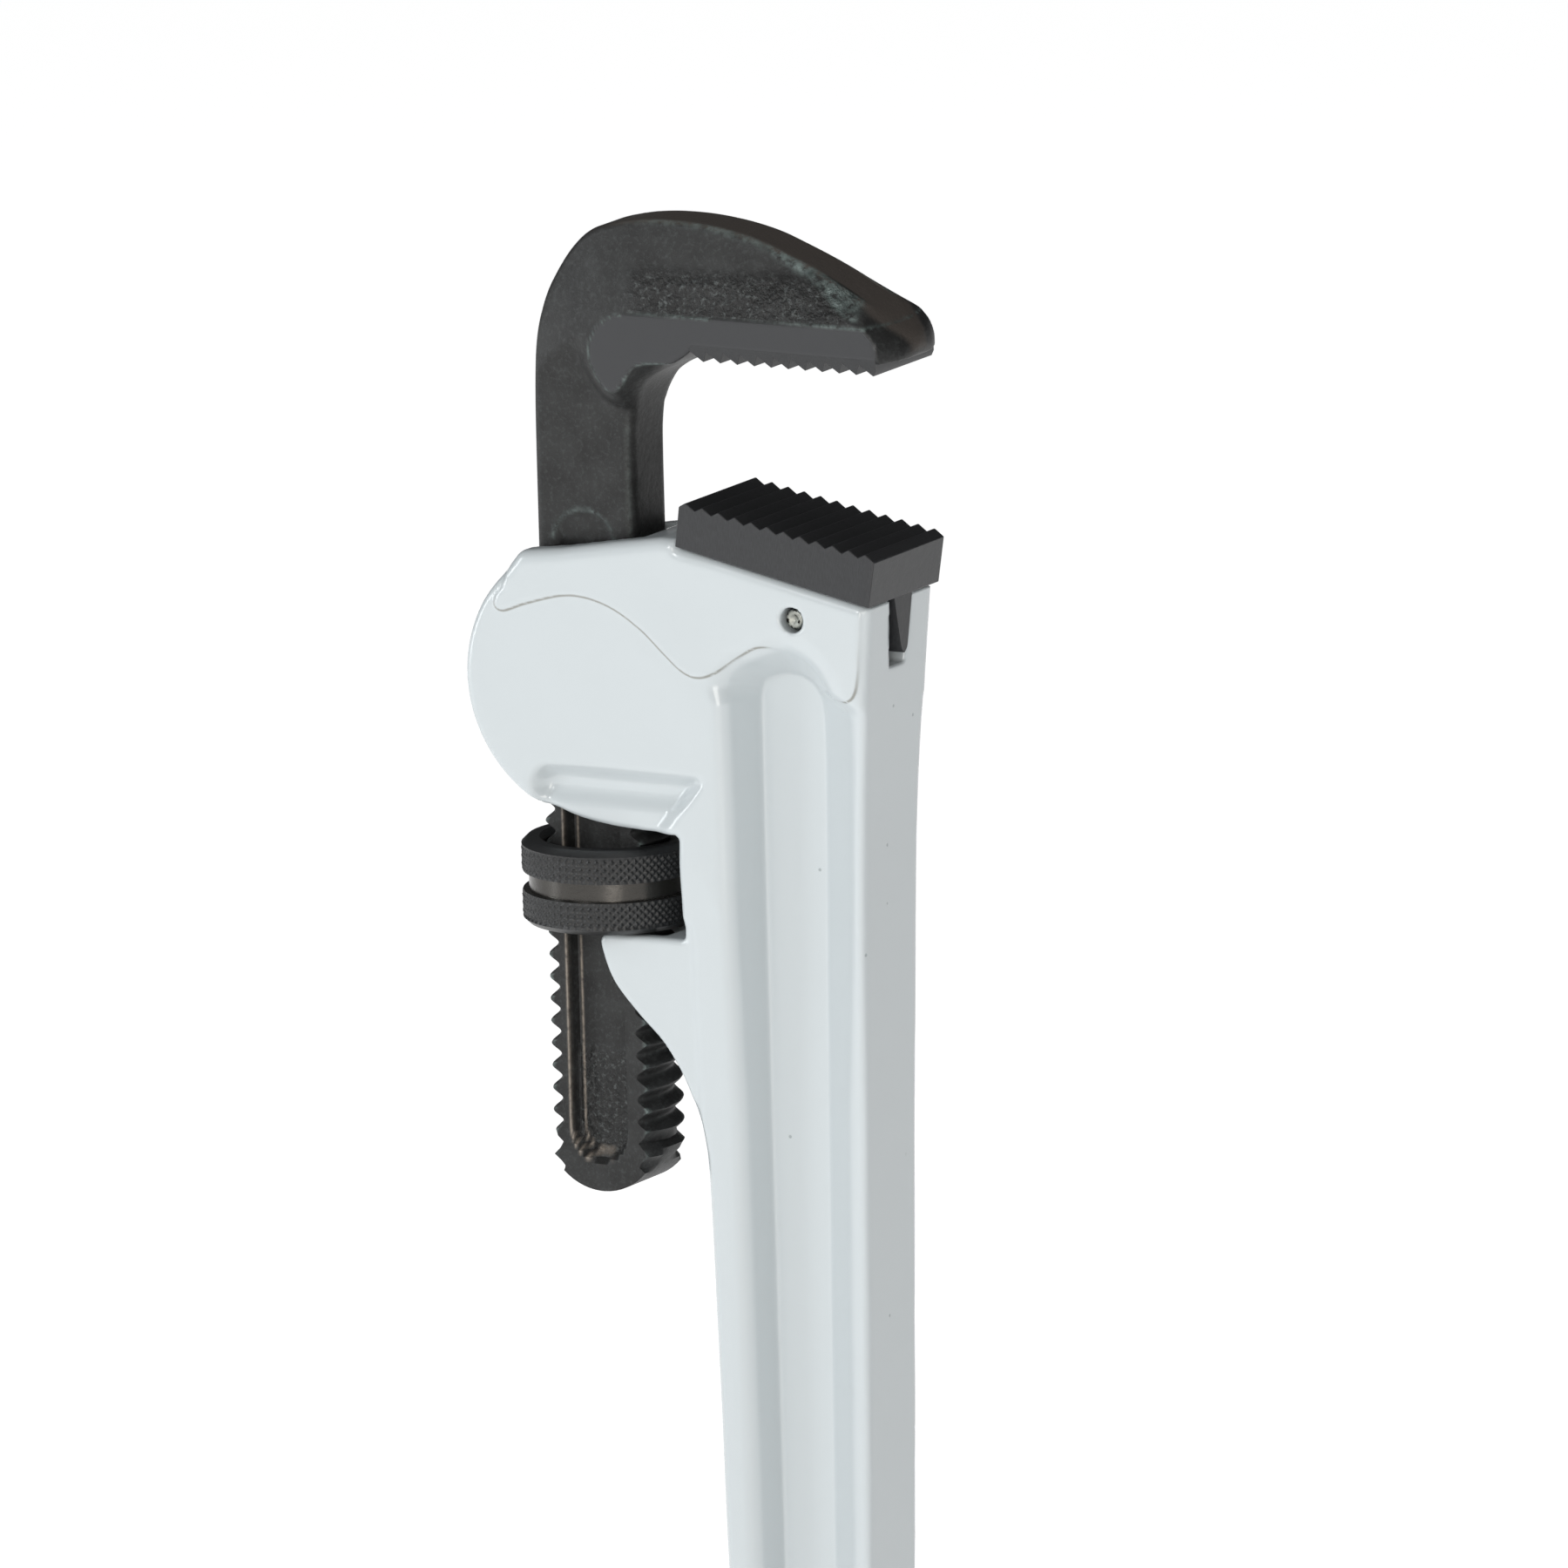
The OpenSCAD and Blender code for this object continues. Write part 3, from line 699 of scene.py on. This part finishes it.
def paintedCasting():
    # Gloss enamel over sand-cast aluminium: cool light grey, faintly orange-peeled over the
    # casting's slow unevenness, with a few pinholes and a painted shade line along the wavy step
    material, tree, shader, place = newMaterial("enamelled sand-cast aluminium", "#B9C0C3", 0.22)
    shader.inputs["Coat Weight"].default_value = 0.4
    shader.inputs["Coat Roughness"].default_value = 0.1
    cells = addNode(tree, "ShaderNodeTexVoronoi", {"Vector": place, "Scale": 1 / (7 * mm)})
    spot = times(tree, band(tree, cells.outputs["Distance"], 0.03, 0.055, 1, 0),
                 band(tree, cells.outputs["Color"], 0.62, 0.64, 0, 1))
    # A dark line along the wavy step: painted shade of the step's edge, which is too fine for the mesh
    line = band(tree, attribute(tree, "plateGap"), 0.1, 0.34, 0.9, 0)
    line = times(tree, line, attribute(tree, "headSide"))
    tone = mixColour(tree, line, linear("#B9C0C3"), linear("#80807A"))
    tone = mixColour(tree, times(tree, spot, 0.55), tone, linear("#70787A"))
    tree.links.new(tone, shader.inputs["Base Color"])
    relief(tree, shader, [(noise(tree, place, 11, 1.0), 0.10), (noise(tree, place, 1.8, 1.0), 0.006),
                          (times(tree, spot, -1.0), 0.04)])
    return material


def forgedSteel():
    # Black oxide over a drop forging: scaly and pitted, ground smooth on the cheek, and grey-green steel
    # where use has taken the oxide off the rim and corners; painted highlights along the cheek panel's edge
    # and the recess's edges, and painted glints in the pits
    material, tree, shader, place = newMaterial("black oxide on forged steel", "#171818", 0.5, 0.0)
    shader.inputs["Specular IOR Level"].default_value = 0.38
    wearAndHighlights, ground, pits, crest = (attribute(tree, name) for name in ("wearAndHighlights", "ground", "pits", "crest"))
    speck = noise(tree, place, 0.9, 4.0, 0.7)
    blotch = noise(tree, place, 6, 3.0)
    scale = mixColour(tree, band(tree, blotch, 0.35, 0.7), linear("#141414"), linear("#232424"))
    scale = mixColour(tree, times(tree, band(tree, speck, 0.5, 0.72), 0.55), scale, linear("#3A3D3D"))
    # Lighter specks inside the pitted patch: painted glints
    scale = mixColour(tree, times(tree, pits, band(tree, speck, 0.54, 0.68)), scale, linear("#4C5050"))
    scale = mixColour(tree, crest, scale, linear("#45403C"))
    # Painted highlights along the recess's edges, in a light warm grey
    recessEdgeHighlight = times(tree, attribute(tree, "recessEdgeHighlight"), band(tree, noise(tree, place, 1.0), 0.3, 0.55, 0.35, 1))
    scale = mixColour(tree, recessEdgeHighlight, scale, linear("#8A8177"))
    patch = band(tree, noise(tree, place, 2.5), 0.35, 0.65)
    bareAndHighlightTone = mixColour(tree, patch, linear("#444C4B"), linear("#6F7A78"))
    # Grey-green steel where use has taken the oxide off the rim and corners, and the same colour painted as
    # highlights along the panel's edge and the recess's top
    wornAndHighlit = times(tree, wearAndHighlights, band(tree, noise(tree, place, 1.3, 4.0, 0.65), 0.36, 0.56))
    smooth = mixColour(tree, ground, scale, linear("#333436"))
    tree.links.new(mixColour(tree, wornAndHighlit, smooth, bareAndHighlightTone), shader.inputs["Base Color"])
    tree.links.new(times(tree, wornAndHighlit, 0.55), shader.inputs["Metallic"])
    rough = band(tree, ground, 0, 1, 0.52, 0.42)
    tree.links.new(rough, shader.inputs["Roughness"])
    skinBump = times(tree, band(tree, ground, 0, 1, 1, 0.06), speck)
    relief(tree, shader, [(times(tree, band(tree, ground, 0, 1, 1, 0.1), blotch), 0.25), (skinBump, 0.1),
                          (times(tree, pits, noise(tree, place, 1.9, 4.0, 0.6)), 1.3)])
    return material


def machinedSteel(name, colour, streakAlong):
    # Black oxide over machined steel: even satin black with faint tool marks one way, and brighter
    # bare metal where the attribute says that it is polished
    material, tree, shader, place = newMaterial(name, colour, 0.4, 0.0)
    stretch = addNode(tree, "ShaderNodeMapping", {"Vector": place, "Scale": streakAlong}).outputs["Vector"]
    marks = noise(tree, stretch, 0.6, 3.0)
    tone = linear(colour)
    lighter = tuple(min(1.0, 1.9 * c) for c in tone[:3]) + (1.0,)
    base = mixColour(tree, band(tree, marks, 0.4, 0.75), tone, lighter)
    polish = attribute(tree, "polish")
    base = mixColour(tree, times(tree, polish, 0.85), base, linear("#4C4A47"))
    tree.links.new(base, shader.inputs["Base Color"])
    tree.links.new(times(tree, polish, 0.9), shader.inputs["Metallic"])
    rough = addNode(tree, "ShaderNodeMath", operation="SUBTRACT")
    setSockets(tree, rough.inputs, (band(tree, marks, 0.3, 0.7, 0.36, 0.46), times(tree, polish, 0.18)))
    tree.links.new(rough.outputs[0], shader.inputs["Roughness"])
    relief(tree, shader, [(marks, 0.02), (noise(tree, place, 3), 0.06)])
    return material


def plainSteel(name, colour, roughness):
    # Bare steel with a little dirt: bright metal broken by dark brown-grey specks
    material, tree, shader, place = newMaterial(name, colour, roughness, 1.0)
    dirt = band(tree, noise(tree, place, 1.1, 3.0), 0.54, 0.62)
    tree.links.new(mixColour(tree, dirt, linear(colour), linear("#1E1C1A")), shader.inputs["Base Color"])
    relief(tree, shader, [(noise(tree, place, 0.7), 0.05)])
    return material


# ---- stage ----

def makeCamera():
    azimuth, elevation, roll = np.radians([30.0, 12.0, 1.5])
    flat = np.cos(elevation)
    back = Vector((np.sin(azimuth) * flat, -np.cos(azimuth) * flat, np.sin(elevation)))
    level = Vector((np.cos(azimuth), np.sin(azimuth), 0))
    rise = back.cross(level)
    right = level * np.cos(roll) - rise * np.sin(roll)
    up = rise * np.cos(roll) + level * np.sin(roll)
    aim = Vector((shankX, 0, nutZ)) + right * 0.0301 + up * 0.0161
    halfView, halfWidth = np.radians(1.6), 0.1377   # half the angle of view, half the width at the aim
    lens = bpy.data.cameras.new("camera")
    lens.lens = lens.sensor_width / 2 / np.tan(halfView)
    lens.clip_end = 50
    camera = bpy.data.objects.new("camera", lens)
    bpy.context.collection.objects.link(camera)
    turn = Matrix((right, up, back)).transposed()
    camera.matrix_world = Matrix.Translation(aim + back * (halfWidth / np.tan(halfView))) @ turn.to_4x4()
    bpy.context.scene.camera = camera


stageLook = {
    "floorGlow": 0.84,      # light from under the white sweep
    "behind": 0.05,         # brightness of the room behind
    "ahead": 0.32,          # brightness of the diffuser in front and above
    "lightFrom": (0.02, -0.87, 0.5),   # the way to the diffuser's middle
}


def makeStage():
    k = stageLook
    low, size = cadBox[0][2], 8.0
    mesh = bpy.data.meshes.new("floor")
    mesh.from_pydata([(-size, -size, low), (size, -size, low), (size, size, low), (-size, size, low)], [],
                     [(0, 1, 2, 3)])
    floor = bpy.data.objects.new("floor", mesh)
    bpy.context.collection.objects.link(floor)
    material, tree, shader, place = newMaterial("white acrylic sweep", "#D0D0D0", 0.9)
    shader.inputs["Emission Color"].default_value = (1, 1, 1, 1)
    shader.inputs["Emission Strength"].default_value = k["floorGlow"]
    mesh.materials.append(material)
    world = bpy.data.worlds.new("soft white room")
    world.use_nodes = True
    tree = world.node_tree
    way = addNode(tree, "ShaderNodeTexCoord").outputs["Generated"]
    toLight = addNode(tree, "ShaderNodeVectorMath", operation="DOT_PRODUCT")
    setSockets(tree, toLight.inputs, (way, Vector(k["lightFrom"]).normalized()))
    bright = band(tree, toLight.outputs["Value"], -0.3, 0.9, k["behind"], k["ahead"])
    setSockets(tree, (tree.nodes["Background"].inputs["Strength"],), (bright,))
    tree.nodes["Background"].inputs["Color"].default_value = (0.985, 0.995, 1.0, 1)
    bpy.context.scene.world = world
    bpy.context.scene.view_settings.view_transform = "Standard"
    middle = Vector((0, 0, 0.2))
    lamps = (("key", (-0.3, -1.5, 1.0), 0.5, 0.5, 7.0, (1, 1, 1)),
             ("right", (0.66, -1.24, 0.4), 0.42, 1.1, 8.0, (1, 0.955, 0.9)),
             ("left", (-1.3, -0.8, 0.5), 0.3, 1.2, 7.5, (0.95, 0.98, 1)),
             ("top", (0.2, 0.1, 1.9), 0.9, 0.9, 3.0, (1, 0.98, 0.96)))
    for name, spot, width, height, power, colour in lamps:
        light = bpy.data.lights.new(name, "AREA")
        light.shape, light.size, light.size_y = "RECTANGLE", width, height
        light.energy, light.color = power, colour
        lamp = bpy.data.objects.new(name, light)
        lamp.location = spot
        lamp.rotation_mode = "QUATERNION"
        lamp.rotation_quaternion = (Vector(spot) - middle).to_track_quat("Z", "Y")
        bpy.context.collection.objects.link(lamp)


makeCamera()
makeStage()
forged = forgedSteel()
makeHandle().data.materials.append(paintedCasting())
for piece in (makeHook(), makeShank(), makeHookTeeth()):
    piece.data.materials.append(forged)
makeNut().data.materials.append(machinedSteel("black oxide on knurled steel", "#141516", (1, 1, 5)))
heelSteel = machinedSteel("black oxide on machined steel", "#202123", (6, 1, 0.5))
for piece in makeHeel():
    piece.data.materials.append(heelSteel)
makePin().data.materials.append(plainSteel("plain drawn steel", "#9A9C96", 0.45))
spring = plainSteel("oiled spring steel", "#8A8A88", 0.35)
for node in ("leaf_spring", "leaf_spring_rivet", "coil_spring"):
    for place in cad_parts[node].material_slots:
        place.material = spring
print("materials")
